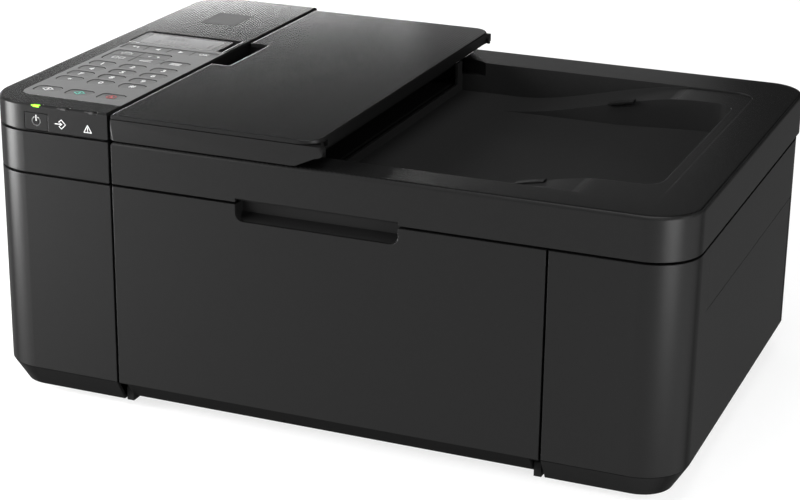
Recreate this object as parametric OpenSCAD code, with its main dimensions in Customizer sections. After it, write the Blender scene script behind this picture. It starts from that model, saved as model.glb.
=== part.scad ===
// Compact four-in-one inkjet printer with a sheet feeder on its document cover.
// Millimetres. +X right, +Y to the back, +Z up. Origin under the middle, on the surface it stands on.

/* [Envelope] */
// Overall width
body_w = 435; // [425:1:445]
// Overall depth, at the document cover and control tower
body_d = 295; // [291:1:299]
// Overall height
body_h = 189; // [187:1:191]
// Radius of the front corners in plan
front_r = 28; // [22:1:30]
// Radius of the rear corners in plan
rear_r = 24; // [18:1:26]
// How far the lower body is set in at the back
rear_set_in = 8.5; // [8:0.5:10]

/* [Shells] */
// Wall thickness of the outer mouldings
wall = 2.4; // [2:0.1:2.8]
// Width of the shadow gaps between mouldings
seam = 1.6; // [1.2:0.1:1.8]
// Height where the lower bevel begins
bevel_top = 20; // [18:1:22]
// How far the lower bevel turns in
bevel_in = 9; // [7:0.5:10]

/* [Front] */
// Middle of the gap left of the front door
gap_left = -131; // [-132:0.5:-130]
// Middle of the gap right of the front door
gap_right = 138.3; // [137:0.5:139]
// Width of the door's handle pocket
handle_w = 101; // [80:1:110]
// Depth of the handle pocket below the door's top edge
handle_h = 10; // [8:0.5:12]

/* [Control panel] */
// Pitch of the number keys across
key_px = 21.8; // [21:0.1:22.5]
// Pitch of the number keys front to back
key_py = 13.3; // [12.8:0.1:14]
// Key travel
key_travel = 0.6; // [0.4:0.1:0.8]

/* [Document cover] */
// Height of the output recess floor
recess_z = 153; // [152:0.5:156]
// Front to back size of the output recess
recess_d = 235; // [225:1:240]

/* [Hidden] */
$fn = 64;
HW = body_w / 2;
HD = body_d / 2;
yb = HD - rear_set_in;             // rear face of the lower body
z_gap = 146;                       // gap between the body and the document cover
z_rim = 172.5;                     // top of the document cover's rim
z_panel = 172.5;                   // gap under the control panel and the feeder
z_side = 107.5;                    // seam of the upper side piece
y_side = -103.5;
body_top = z_gap - seam / 2;
lid_bot = z_gap + seam / 2;
floor_z = 5.4;
floor_t = 2.2;
floor_top = floor_z + floor_t;
tower_r = gap_left - 1.2;          // right wall of the control tower
feeder_l = gap_left + 0.8;         // left wall of the feeder and of the cover
door_l = gap_left + seam / 2;
door_r = gap_right - seam / 2;
mid_x = (door_l + door_r) / 2;

door_y = -135.5;                   // front door hinge axis
door_z = 13.5;
lid_y = 141;                       // document cover hinge axis
lid_z = 149;
fc_x = -124.4;                     // feeder cover hinge axis
fc_z = 183.5;
tray_x = 1.5;                      // document tray hinge axis
tray_z = 182.6;
drum_x = -108;                     // feeder drum axis
drum_z = 161;
drum_r = 10;
pick_x = -62;                      // feeder pick roller axis
pick_z = 178.2;
fit = 0.06;                        // radial clearance of a running shaft

rod_y = 28;                        // carriage guide rod axis
rod_z = 84;
rod_r = 4;
feed_y = -1;                       // paper feed roller axis
feed_z = 53;
eject_y = -50;                     // paper eject roller axis
eject_z = 54.5;
gear_x = -166;                     // outer side of the left frame plate's gears
frame_l = -162;                    // left and right roller side plates
frame_r = 148;
feed_teeth = 30;
eject_teeth = 24;
idle_teeth = 22;
// direction from the feed roller to the eject roller, and the idler's place on that line
mesh_a = atan2(eject_z - feed_z, eject_y - feed_y);
mesh_d = (feed_teeth + idle_teeth) / 2 + 0.01;
idle_y = feed_y + mesh_d * cos(mesh_a);
idle_z = feed_z + mesh_d * sin(mesh_a);
scan_y = 0;                        // scan head guide rod
scan_z = 126;

black = [0.08, 0.08, 0.085];
charcoal = [0.12, 0.12, 0.125];
grey = [0.3, 0.3, 0.31];
steel = [0.7, 0.7, 0.72];
white = [0.92, 0.92, 0.92];

// number key grid: left column, front row
pad_x = -191.8;
pad_y = -88.6;
key_w = 16.2;
key_d = 10;
key_r = 3.6;
key_gap = 0.35;
top_t = 2.4;                       // thickness of the control panel's top
row_y = -114;                      // start and stop keys
nav_y = -3.2;
mode_x = -180;
mode_y = -25.6;

// ---------- shared shapes ----------

// Rectangle with its own radius at each corner: front left, front right, back right, back left.
module plate2d(x0, x1, y0, y1, fl = 0, fr = 0, br = 0, bl = 0) {
  difference() {
    translate([x0, y0]) square([x1 - x0, y1 - y0]);
    if (fl > 0) translate([x0 - 1, y0 - 1]) square(fl + 1);
    if (fr > 0) translate([x1 - fr, y0 - 1]) square(fr + 1);
    if (br > 0) translate([x1 - br, y1 - br]) square(br + 1);
    if (bl > 0) translate([x0 - 1, y1 - bl]) square(bl + 1);
  }
  if (fl > 0) translate([x0 + fl, y0 + fl]) circle(fl);
  if (fr > 0) translate([x1 - fr, y0 + fr]) circle(fr);
  if (br > 0) translate([x1 - br, y1 - br]) circle(br);
  if (bl > 0) translate([x0 + bl, y1 - bl]) circle(bl);
}

module slab(z0, z1) {
  translate([0, 0, z0]) linear_extrude(z1 - z0) children();
}

module block(x0, x1, y0, y1, z0, z1) {
  translate([x0, y0, z0]) cube([x1 - x0, y1 - y0, z1 - z0]);
}

// Profile drawn in Y and Z, extruded along X.
module along_x(x0, x1) {
  translate([x0, 0, 0]) rotate([90, 0, 90]) linear_extrude(x1 - x0) children();
}

// Profile drawn in X and Z, extruded along Y.
module along_y(y0, y1) {
  translate([0, y1, 0]) rotate([90, 0, 0]) linear_extrude(y1 - y0) children();
}

module pin_x(x0, x1, y, z, r) {
  translate([x0, y, z]) rotate([0, 90, 0]) cylinder(h = x1 - x0, r = r);
}

module pin_y(y0, y1, x, z, r) {
  translate([x, y0, z]) rotate([-90, 0, 0]) cylinder(h = y1 - y0, r = r);
}

// Plan outline of the lower body, moved in by i.
module body2d(i = 0) {
  plate2d(-HW + i, HW - i, -HD + i, yb - i, front_r - i, front_r - i, rear_r - i, rear_r - i);
}

module body_ring2d(t = wall) {
  difference() {
    body2d(0);
    body2d(t);
  }
}

// Plan outline of the control tower, moved in by i.
module tower2d(i = 0) {
  plate2d(-HW + i, tower_r - i, -HD + i, HD - i, front_r - i, 0, 0, rear_r - i);
}

// Plan outline of the document cover, moved in by i.
module lid2d(i = 0) {
  plate2d(feeder_l + i, HW - i, -HD + i, HD - i, 0, front_r - i, rear_r - i, 0);
}

module key_hole2d(x, y, w, d, r) {
  plate2d(x - w / 2, x + w / 2, y - d / 2, y + d / 2, r, r, r, r);
}

// Spur gear outline: straight flanked teeth on a disc.
module gear2d(teeth, m) {
  rp = teeth * m / 2;
  circle(rp - 1.1 * m);
  for (i = [0:teeth - 1])
    rotate(i * 360 / teeth)
      polygon([[rp - 1.5 * m, -0.95 * m], [rp - 0.2 * m, -0.75 * m], [rp + 0.8 * m, -0.38 * m],
        [rp + 0.8 * m, 0.38 * m], [rp - 0.2 * m, 0.75 * m], [rp - 1.5 * m, 0.95 * m]]);
}

// ---------- lower body ----------

module bevel_solid(i) {
  hull() {
    slab(bevel_top - 0.01, bevel_top) body2d(i);
    slab(floor_z, floor_z + 0.01) body2d(i + bevel_in);
  }
}

lug_w = 4.6;

module lower_case() {
  color(black) {
    difference() {
      bevel_solid(0);
      difference() {
        bevel_solid(wall);
        block(-HW, HW, -HD, HD, 0, floor_top);
      }
      block(-HW, HW, -HD, HD, bevel_top - 0.02, bevel_top + 1);
      block(gap_left - seam / 2, gap_right + seam / 2, -HD - 1, door_y + 4, 0, bevel_top + 1);
      for (x = [-182, 182], y = [-108, 104])
        translate([x, y, floor_z - 1]) cylinder(h = 2.2, r = 8.2);
      for (x = [-200, 200], y = [-112, 118])
        translate([x, y, floor_z - 1]) cylinder(h = 4, r = 1.4);
    }
    // walls beside the paper bay
    for (x = [gap_left - seam / 2 - wall, gap_right + seam / 2])
      block(x, x + wall, -128, 28, floor_top - 0.1, 44);
    // paper bed ribs
    for (i = [0:8])
      block(-100 + i * 26, -98 + i * 26, -62, 100, floor_top - 0.1, floor_top + 1.6);
    // back stop of the paper bed
    block(gap_left, gap_right, 100, 102.4, floor_top - 0.1, 30);
    // runners of the output tray
    for (x = [gap_left - seam / 2 - 0.1, gap_right + seam / 2 - 6.9])
      block(x, x + 7, -128, 58, 32, 34);
    // door hinge lugs
    for (x = [door_l + 0.3, door_r - 0.3 - lug_w])
      difference() {
        union() {
          block(x, x + lug_w, door_y - 3.6, door_y + 8, floor_z, door_z);
          pin_x(x, x + lug_w, door_y, door_z, 3.6);
        }
        pin_x(x - 1, x + lug_w + 1, door_y, door_z, 2 + fit);
      }
    // screw posts
    for (x = [-200, 200], y = [-112, 118])
      difference() {
        translate([x, y, floor_top - 0.1]) cylinder(h = 22, r = 4);
        translate([x, y, floor_top - 1]) cylinder(h = 25, r = 1.4);
      }
  }
}

// One side cover: the front panel beside the door, the corner and the side wall.
module side_cover(x_in, right) {
  rib_x = right ? HW - wall - 2 : -HW + wall - 0.1;
  difference() {
    slab(bevel_top + 0.2, body_top) intersection() {
      body_ring2d(wall);
      translate([right ? x_in : -HW - 1, -HD - 1]) square([right ? HW + 1 - x_in : x_in + HW + 1, HD + 112.8]);
    }
    block(right ? HW - 20 : -HW - 1, right ? HW + 1 : -HW + 20, y_side - 0.3, HD, z_side - 0.3, body_top + 1);
  }
  // top flange and inner edge of the front panel
  slab(body_top - 2, body_top) intersection() {
    body2d(0.5);
    translate([right ? x_in : -HW - 1, -HD]) square([right ? HW + 1 - x_in : x_in + HW + 1, 12]);
  }
  block(right ? x_in : x_in - wall, right ? x_in + wall : x_in, -HD + 0.5, -HD + 12, bevel_top + 0.2, body_top);
  // stiffening ribs
  for (y = [-60, 20, 80])
    block(rib_x, rib_x + 2.1, y, y + 2, bevel_top + 6, z_side - 8);
}

module left_cover() {
  color(charcoal) side_cover(gap_left - seam / 2, false);
}

module right_cover() {
  color(charcoal) side_cover(gap_right + seam / 2, true);
}

inlet_x = 178;
inlet_z = 36;
usb_x = -176;
usb_z = 62;
jack_z = 40;

module rear_cover() {
  color(black) difference() {
    slab(bevel_top + 0.2, z_side - 0.3) intersection() {
      body_ring2d(wall);
      translate([-HW - 1, 113.1]) square([body_w + 2, 60]);
    }
    block(inlet_x - 13, inlet_x + 13, yb - 5, yb + 1, inlet_z - 8, inlet_z + 8);
    block(usb_x - 6.4, usb_x + 6.4, yb - 5, yb + 1, usb_z - 6, usb_z + 6);
    for (x = [usb_x - 9, usb_x + 9])
      block(x - 7, x + 7, yb - 5, yb + 1, jack_z - 6.5, jack_z + 6.5);
    // finger slot and outline groove of the rear access panel
    block(-92, 92, yb - 0.8, yb + 1, 34, 35);
    block(-92, 92, yb - 0.8, yb + 1, 95, 96);
    for (x = [-92, 91])
      block(x, x + 1, yb - 0.8, yb + 1, 34, 96);
    for (x = [-200, 200])
      translate([x, yb - 10, 0]) rotate([-90, 0, 0]) translate([0, -88, 0]) cylinder(h = 20, r = 1.6);
  }
}

module rubber_feet() {
  color(black) for (x = [-182, 182], y = [-108, 104])
    translate([x, y, 0]) {
      cylinder(h = 1, r1 = 7.2, r2 = 8);
      translate([0, 0, 1]) cylinder(h = floor_z + 0.2, r = 8);
    }
}

module case_screws() {
  color(steel) for (x = [-200, 200], y = [-112, 118])
    translate([x, y, floor_z - 1.8]) {
      difference() {
        cylinder(h = 1.8, r = 3);
        for (a = [0, 90])
          rotate(a) translate([-1.6, -0.35, -1]) cube([3.2, 0.7, 1.8]);
      }
      translate([0, 0, 1.8]) cylinder(h = 16, r = 1.3);
    }
}

// ---------- scanner ----------

module scanner_case() {
  color(charcoal) {
    difference() {
      slab(z_side, body_top) intersection() {
        body_ring2d(wall);
        translate([-HW - 1, y_side]) square([body_w + 2, 300]);
      }
      // pockets for the cover hinges
      for (x = hinge_x)
        block(x - 7, x + 7, yb - 4, yb + 1, 130, body_top + 1);
    }
    // tub that holds the scan head
    difference() {
      block(-213, 213, -120, yb - 4, 120, body_top - 2.2);
      block(-211, 211, -118, yb - 6, 122, body_top + 1);
    }
    // brackets that tie the tub to the walls
    for (x = [-HW + wall - 0.1, 212.9], y = [-90, 0, 90])
      block(x, x + HW - 212.9 - wall + 0.2, y, y + 4, 112, 140);
    block(-60, 60, yb - 4.1, yb - wall + 0.1, 112, 140);
    // scan head rod in its end blocks
    for (x = [-211.1, 205])
      block(x, x + 6.1, scan_y - 6, scan_y + 6, 121.9, 132);
    // rest pads for the platen ribs below
    for (x = [-150, 150])
      block(x - 4, x + 4, 60, 64, 112, 120.1);
  }
  color(steel) pin_x(-206, 206, scan_y, scan_z, 2);
}

glass_x0 = -104;
glass_x1 = 194;
glass_y = 108.4;
strip_x0 = -122;
strip_x1 = -112;

module scanner_top() {
  color(charcoal) {
    difference() {
      slab(body_top - 2, body_top) intersection() {
        body2d(wall + 0.3);
        translate([-HW, -HD + 12.4]) square([body_w, 400]);
      }
      block(glass_x0 - 0.3, glass_x1 + 0.3, -glass_y - 0.3, glass_y + 0.3, 130, body_top + 1);
      block(strip_x0 - 0.3, strip_x1 + 0.3, -glass_y - 0.3, glass_y + 0.3, 130, body_top + 1);
      for (x = hinge_x)
        block(x - 7, x + 7, yb - 6, yb + 1, 130, body_top + 1);
    }
    // lips the panes lie on
    difference() {
      block(strip_x0 - 4, glass_x1 + 4, -glass_y - 4, glass_y + 4, body_top - 3.6, body_top - 1.9);
      block(glass_x0 + 3, glass_x1 - 3, -glass_y + 3, glass_y - 3, 130, body_top + 1);
      block(strip_x0 + 2, strip_x1 - 2, -glass_y + 3, glass_y - 3, 130, body_top + 1);
      block(glass_x0 - 0.3, glass_x1 + 0.3, -glass_y - 0.3, glass_y + 0.3, body_top - 3, body_top + 1);
      block(strip_x0 - 0.3, strip_x1 + 0.3, -glass_y - 0.3, glass_y + 0.3, body_top - 3, body_top + 1);
    }
    // control tower under the panel
    slab(lid_bot, z_panel - seam / 2) difference() {
      tower2d(0);
      tower2d(wall);
    }
    // set-back core that closes the shadow gaps above and below
    difference() {
      slab(body_top - 0.1, panel_bot + 0.8) difference() {
        tower2d(wall + 0.3);
        tower2d(wall + 2.2);
      }
      block(-189, -171.4, -HD, -HD + 8, z_panel - 0.2, z_panel + 5);
      difference() {
        block(-HW, HW, -HD, HD, 0, body_top);
        slab(0, body_top + 1) intersection() {
          body2d(wall + 0.3);
          translate([-HW, -HD + 12.4]) square([body_w, 400]);
        }
      }
    }
    slab(lid_bot, z_panel - seam / 2) difference() {
      tower2d(wall - 0.1);
      tower2d(wall + 0.4);
    }
    slab(lid_bot, lid_bot + 2) difference() {
      tower2d(wall);
      plate2d(-200, -150, -120, 120);
    }
  }
}

module scan_glass() {
  color([0.6, 0.75, 0.75, 0.6]) {
    block(glass_x0, glass_x1, -glass_y, glass_y, body_top - 3, body_top - 0.2);
    block(strip_x0, strip_x1, -glass_y, glass_y, body_top - 3, body_top - 0.2);
  }
}

module scan_head() {
  x = -117;
  color(black) difference() {
    union() {
      block(x - 8, x + 8, -114, 114, 129, 139.6);
      block(x - 11, x + 11, -7, 7, 122.6, 134);
    }
    pin_x(x - 20, x + 20, scan_y, scan_z, 2 + fit);
    block(x - 3.5, x + 3.5, -108, 108, 134, 141);
  }
  color(white) block(x - 3.4, x + 3.4, -107.9, 107.9, 136, 138.6);
}

// ---------- print engine ----------

module main_frame() {
  color(steel) {
    // rear rail plate with a folded top
    block(-196, 204, 46, 47.5, 36, 112);
    block(-196, 204, 36, 46.1, 110.5, 112);
    // rod end brackets
    for (x = [-197.4, 203.9])
      block(x, x + 1.5, 20, 47.5, 62, 112);
    pin_x(-197, 205, rod_y, rod_z, rod_r);
    // roller side plates
    for (x = [frame_l, frame_r])
      difference() {
        block(x, x + 1.5, -60, 47, floor_top + 0.1, 62);
        pin_x(x - 1, x + 3, feed_y, feed_z, 3 + fit);
        pin_x(x - 1, x + 3, eject_y, eject_z, 2.5 + fit);
        block(x - 1, x + 3, -45, 20, 16, 40);
      }
    // stub axle of the drive gear
    pin_x(gear_x - 5, frame_l + 0.1, idle_y, idle_z, 2);
  }
}

module platen() {
  color(black) {
    difference() {
      block(-118, 125, -42, -10, 46, 56);
      block(-115.6, 122.6, -39.6, -12.4, 45, 54);
    }
    for (i = [0:11])
      block(-112 + i * 21, -110.6 + i * 21, -42, -10, 55.9, 58.4);
    // ties to the side plates
    for (x = [[frame_l + 1.5, -117.9], [124.9, frame_r]])
      block(x[0], x[1], -34, -20, 46, 54);
    // star wheel bar above the eject roller
    block(frame_l + 1.5, frame_r, -54, -46, 63.2, 64.6);
    for (x = [frame_l, frame_r])
      block(x, x + 2, -54, -46, 62, 64);
  }
}

module feed_roller() {
  color(steel) pin_x(gear_x - 5, 152, feed_y, feed_z, 3);
  color(black) for (x = [-100, -40, 20, 80])
    difference() {
      pin_x(x - 12, x + 22, feed_y, feed_z, 6.2);
      pin_x(x - 13, x + 23, feed_y, feed_z, 2.9);
    }
  color(white) translate([gear_x - 4, feed_y, feed_z]) rotate([90, 0, 90])
    linear_extrude(4) difference() {
      rotate(mesh_a) gear2d(feed_teeth, 1);
      circle(2.9);
    }
}

module eject_roller() {
  color(steel) pin_x(gear_x - 5, 152, eject_y, eject_z, 2.5);
  color(black) for (x = [-100, -60, -20, 20, 60, 100])
    difference() {
      pin_x(x, x + 10, eject_y, eject_z, 5);
      pin_x(x - 1, x + 11, eject_y, eject_z, 2.4);
    }
  color(white) translate([gear_x - 4, eject_y, eject_z]) rotate([90, 0, 90])
    linear_extrude(4) difference() {
      rotate(mesh_a + 180) gear2d(eject_teeth, 1);
      circle(2.4);
    }
}

module drive_gear() {
  color(white) translate([gear_x - 4, idle_y, idle_z]) rotate([90, 0, 90])
    linear_extrude(4) difference() {
      rotate(mesh_a + 180 + 180 / idle_teeth) gear2d(idle_teeth, 1);
      circle(2 + fit);
    }
}

module carriage() {
  cx = 165;
  color(black) difference() {
    union() {
      difference() {
        block(cx - 38, cx + 38, -45, 18, 66, 104);
        block(cx - 35.6, cx + 35.6, -42.6, 14, 68.4, 105);
        block(cx - 30, cx + 30, -36, -12, 60, 70);
        block(cx - 35.6, cx + 35.6, -46, -42, 84, 105);
      }
      block(cx - 1.2, cx + 1.2, -42.6, 14, 68.3, 96);
      for (x = [cx - 38, cx + 20])
        block(x, x + 18, 17.9, 36, 76, 92);
    }
    pin_x(cx - 50, cx + 50, rod_y, rod_z, rod_r + fit);
  }
}

module ink_cartridges() {
  cx = 165;
  for (s = [-1, 1])
    color(s < 0 ? [0.1, 0.1, 0.1] : [0.2, 0.2, 0.22]) difference() {
      union() {
        block(cx + s * 18.5 - 16, cx + s * 18.5 + 16, -42, 13, 69, 96);
        block(cx + s * 18.5 - 10, cx + s * 18.5 + 10, -34, -14, 62, 69.1);
        block(cx + s * 18.5 - 12, cx + s * 18.5 + 12, -44.6, -41.9, 84.6, 95);
      }
      block(cx + s * 18.5 - 9, cx + s * 18.5 + 9, -46, -43.6, 87, 93);
    }
}

module timing_belt() {
  color(black) difference() {
    union() {
      block(-180, 190, 38, 44, 96, 108);
      for (x = [-180, 190])
        translate([x, 38, 102]) rotate([-90, 0, 0]) cylinder(h = 6, r = 6);
    }
    block(-180, 190, 37, 45, 97.2, 106.8);
    for (x = [-180, 190])
      translate([x, 37, 102]) rotate([-90, 0, 0]) cylinder(h = 8, r = 4.8);
  }
}

module purge_unit() {
  color(black) {
    difference() {
      block(152, 206, -46, 12, floor_top + 0.2, 56);
      block(154, 204, -44, 10, 40, 57);
    }
    for (x = [156, 184])
      block(x, x + 16, -36, -12, 39.9, 60);
    block(176, 179, -40, -8, 39.9, 61);
  }
}

module logic_board() {
  color([0.1, 0.35, 0.18]) block(-204, -202.4, -40, 128, 30, 100);
  color(black) {
    for (y = [-20, 25, 70])
      block(-202.5, -198, y, y + 22, 50, 74);
    block(-202.5, usb_x - 20, 112, 132, 31, 36);
  }
  color(steel) {
    difference() {
      block(usb_x - 6, usb_x + 6, yb - 18, yb - 0.8, usb_z - 5.5, usb_z + 5.5);
      block(usb_x - 4.4, usb_x + 4.4, yb - 9, yb + 1, usb_z - 4, usb_z + 4);
    }
    block(-202.5, usb_x - 5.9, yb - 17, yb - 8, usb_z - 4, usb_z + 4);
  }
  color(black) difference() {
    union() {
      for (x = [usb_x - 9, usb_x + 9])
        block(x - 6.6, x + 6.6, yb - 17, yb - 0.8, jack_z - 6.1, jack_z + 6.1);
      block(-202.5, usb_x + 9, yb - 17, yb - 10, jack_z - 5, jack_z + 5);
    }
    for (x = [usb_x - 9, usb_x + 9])
      block(x - 4.8, x + 4.8, yb - 9, yb + 1, jack_z - 4, jack_z + 3);
  }
}

module power_supply() {
  color(black) {
    difference() {
      block(150, 194, 62, 126, floor_top + 0.2, 52);
      for (i = [0:5])
        block(155 + i * 6, 157 + i * 6, 61, 64, 20, 44);
    }
    difference() {
      block(inlet_x - 12.5, inlet_x + 12.5, 125.9, yb - 0.8, inlet_z - 7.5, inlet_z + 7.5);
      for (x = [inlet_x - 4.2, inlet_x + 4.2])
        translate([x, yb - 12, inlet_z]) rotate([-90, 0, 0]) cylinder(h = 20, r = 4.2);
      block(inlet_x - 4.2, inlet_x + 4.2, yb - 12, yb + 1, inlet_z - 4.2, inlet_z + 4.2);
    }
    for (x = [inlet_x - 4.2, inlet_x + 4.2])
      translate([x, yb - 12.1, inlet_z]) rotate([-90, 0, 0]) cylinder(h = 7, r = 1.2);
  }
}

// ---------- front door, trays and guides ----------

module door_profile() {
  polygon([[-HD, body_top], [-HD, bevel_top], [-HD + bevel_in - 0.5, 9.4], [-HD + bevel_in + 2, 9.4],
    [-HD + wall, bevel_top + 1.2], [-HD + wall, body_top]]);
}

notch_x = 12;                      // middle of the finger notch under the door

module front_door() {
  hx0 = mid_x - handle_w / 2 - 3.2;
  hx1 = hx0 + handle_w;
  hz = body_top - handle_h;
  color(charcoal) {
    difference() {
      union() {
        along_x(door_l, door_r) door_profile();
        // top flange and side returns
        block(door_l, door_r, -HD + 0.5, -HD + 11, body_top - 2, body_top);
        for (x = [door_l, door_r - wall])
          block(x, x + wall, -HD + 0.5, -HD + 9, bevel_top + 6, body_top);
        // stiffening ribs on the inner face
        for (i = [1:5])
          block(door_l + i * 44, door_l + i * 44 + 1.6, -HD + 1, -HD + 5, 28, 118);
        block(door_l + 2, door_r - 2, -HD + 1, -HD + 5, 70, 71.6);
        // handle pocket
        block(hx0 - 2, hx1 + 2, -HD + 1, -HD + 11, hz - 2, body_top);
      }
      // handle opening, deeper at the top
      along_x(hx0 + 5, hx1 - 5)
        polygon([[-HD - 1, hz], [-HD + 2, hz], [-HD + 9, hz + 3.6], [-HD + 9, body_top + 1], [-HD - 1, body_top + 1]]);
      for (x = [hx0 + 5, hx1 - 5])
        intersection() {
          union() {
            translate([x, -HD - 1, hz + 5]) rotate([-90, 0, 0]) cylinder(h = 10, r = 5);
            block(hx0, hx1, -HD - 1, -HD + 9, hz + 5, body_top + 1);
          }
          along_x(hx0, hx1)
            polygon([[-HD - 1, hz], [-HD + 2, hz], [-HD + 9, hz + 3.6], [-HD + 9, body_top + 1], [-HD - 1, body_top + 1]]);
        }
      // room for the hinge lugs
      for (x = [door_l - 1, door_r - lug_w - 0.8])
        block(x, x + lug_w + 1.8, -HD - 1, door_y + 6, 0, bevel_top - 0.8);
      // finger notch in the lower edge
      translate([notch_x, 0, 9.4]) along_x(-36, 36)
        polygon([[-HD, -1], [-HD + 20, -1], [-HD + 20, 2.6], [-HD + 2, 2.6]]);
    }
    // hinge arms and pins
    for (x = [door_l + lug_w + 1.2, door_r - lug_w - 4.2])
      along_x(x, x + 3)
        polygon([[-HD + 1.5, bevel_top + 8], [-HD + 2, bevel_top + 1], [door_y - 3, 9.8], [door_y + 2.4, 10.6],
          [door_y + 2.4, door_z + 2], [door_y - 3, bevel_top]]);
    pin_x(door_l + 0.6, door_l + lug_w + 1.3, door_y, door_z, 2);
    pin_x(door_r - lug_w - 1.3, door_r - 0.6, door_y, door_z, 2);
  }
}

module output_tray() {
  color(black) difference() {
    union() {
      block(-124, 131, -98, -58, 34.4, 36.8);
      for (i = [0:7])
        block(-112 + i * 33, -110 + i * 33, -97, -58, 36.7, 38.4);
      block(-124, 131, -100, -97.6, 34.4, 40);
      for (x = [-124, 129])
        block(x, x + 2, -98, -58, 34.4, 42);
    }
    // thumb recess in the front lip
    translate([mid_x, -101, 44]) rotate([-90, 0, 0]) cylinder(h = 5, r = 9);
  }
}

guide_y0 = -122;
guide_y1 = -74;

module paper_guide(x, s) {
  color(grey) {
    block(x, x + 2, guide_y0, guide_y1, floor_top + 0.4, 24);
    block(s > 0 ? x - 20 : x, s > 0 ? x + 2 : x + 22, -108, -88, floor_top + 0.4, floor_top + 1.8);
    for (y = [-112, -84])
      block(s > 0 ? x - 8 : x + 1.9, s > 0 ? x + 0.1 : x + 10, y, y + 1.6, floor_top + 0.4, 18);
  }
}

module paper_guide_left() {
  paper_guide(mid_x - 107, 1);
}

module paper_guide_right() {
  paper_guide(mid_x + 105, -1);
}

// ---------- document cover ----------

hinge_x = [-92, 156];
ledge_x0 = 60;                     // where the side ledges begin to climb
ledge_x1 = 165;                    // where they reach the rim's level
ledge_z = 170.6;
chan_y0 = -88;
chan_y1 = 60;
chan_x1 = 184;
rec_x0 = -9;
rec_x1 = 195;
rec_y0 = -122.5;
rec_y1 = rec_y0 + recess_d;

function smooth(t) = t * t * (3 - 2 * t);

// Air above the climbing side ledges, drawn in X and Z and lowered by t.
module ledge_air2d(t, x_end) {
  n = 16;
  polygon(concat(
    [[rec_x0, z_rim + 5], [rec_x0, recess_z - t], [ledge_x0, recess_z - t]],
    [for (i = [1:n]) [ledge_x0 + (ledge_x1 - ledge_x0) * i / n,
      recess_z - t + (ledge_z - recess_z) * smooth(i / n)]],
    [[x_end, ledge_z - t], [x_end, z_rim + 5]]));
}

module recess_air(t) {
  intersection() {
    along_y(rec_y0 - t, rec_y1 + t) ledge_air2d(t, rec_x1 + t);
    slab(100, 200) plate2d(rec_x0 - 1, rec_x1 + t, rec_y0 - t, rec_y1 + t, 0, 20 + t, 20 + t, 0);
  }
  slab(recess_z - t, z_rim + 5)
    plate2d(rec_x0, chan_x1 + t, chan_y0 - t, chan_y1 + t, 0, 12 + t, 12 + t, 0);
}

module lid_shell() {
  t = 2;
  hx0 = mid_x - handle_w / 2 - 3.2;
  color(charcoal) {
    difference() {
      union() {
        slab(lid_bot, z_rim - 1.2) difference() {
          lid2d(0);
          lid2d(wall);
        }
        // rim with a softened top edge
        difference() {
          hull() {
            slab(z_rim - 1.21, z_rim - 1.2) lid2d(0);
            slab(z_rim - 0.01, z_rim) lid2d(1.2);
          }
          block(feeder_l - 1, rec_x0 - 2, -HD + wall, HD - wall, 160, 180);
        }
        slab(z_rim - 2.4, z_rim - 0.5) intersection() {
          lid2d(1);
          translate([rec_x0 - 2, -HD]) square([400, body_d]);
        }
        intersection() {
          recess_air(t);
          block(rec_x0 - 2, HW - 3, -HD + 3, HD - 3, 140, z_rim - 0.5);
        }
        // wall at the feeder end of the recess
        block(rec_x0 - t, rec_x0 + 0.1, -HD + 1, HD - 1, recess_z - t, z_rim - 0.5);
      }
      difference() {
        recess_air(0);
        // stops that overhang the channel
        for (y = [chan_y0 - 4, chan_y1 - 1.2])
          along_y(y, y + 5.2) polygon([[108, 159.2], [112, 161.4], [124, 163.4], [130, 164.2], [130, 166], [108, 161.2]]);
      }
      // document exit, open up to the feeder's loading table
      block(rec_x0 - 5, rec_x0 + 1, -112, 104, 158, 180);
      // hollow under the feeder
      block(feeder_l + wall, rec_x0 - t, -HD + wall, HD - wall, 140, 180);
      // relief over the door handle
      block(hx0, hx0 + handle_w, -HD - 1, -HD + 9, lid_bot - 1, lid_bot + 2.2);
      for (x = hinge_x)
        block(x - 13, x + 13, 134, HD + 1, 140, 156.5);
    }
    // ribs between the recess and the outer wall
    for (y = [-100, 80])
      block(rec_x1 + t, HW - wall + 0.1, y, y + 2, 150, z_rim - 1);
  }
}

module lid_pad() {
  color(white) block(-102, 192, -107, 107, 145.6, 147.1);
}

module lid_hinges() {
  color(black) for (x = hinge_x) {
    difference() {
      union() {
        block(x - 5, x + 5, yb - 3.4, yb + 4.6, 131, lid_z);
        pin_x(x - 5, x + 5, lid_y, lid_z, 4);
      }
      pin_x(x - 6, x + 6, lid_y, lid_z, 1.9);
    }
  }
  color(steel) for (x = hinge_x)
    pin_x(x - 11, x + 11, lid_y, lid_z, 2);
}

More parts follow.
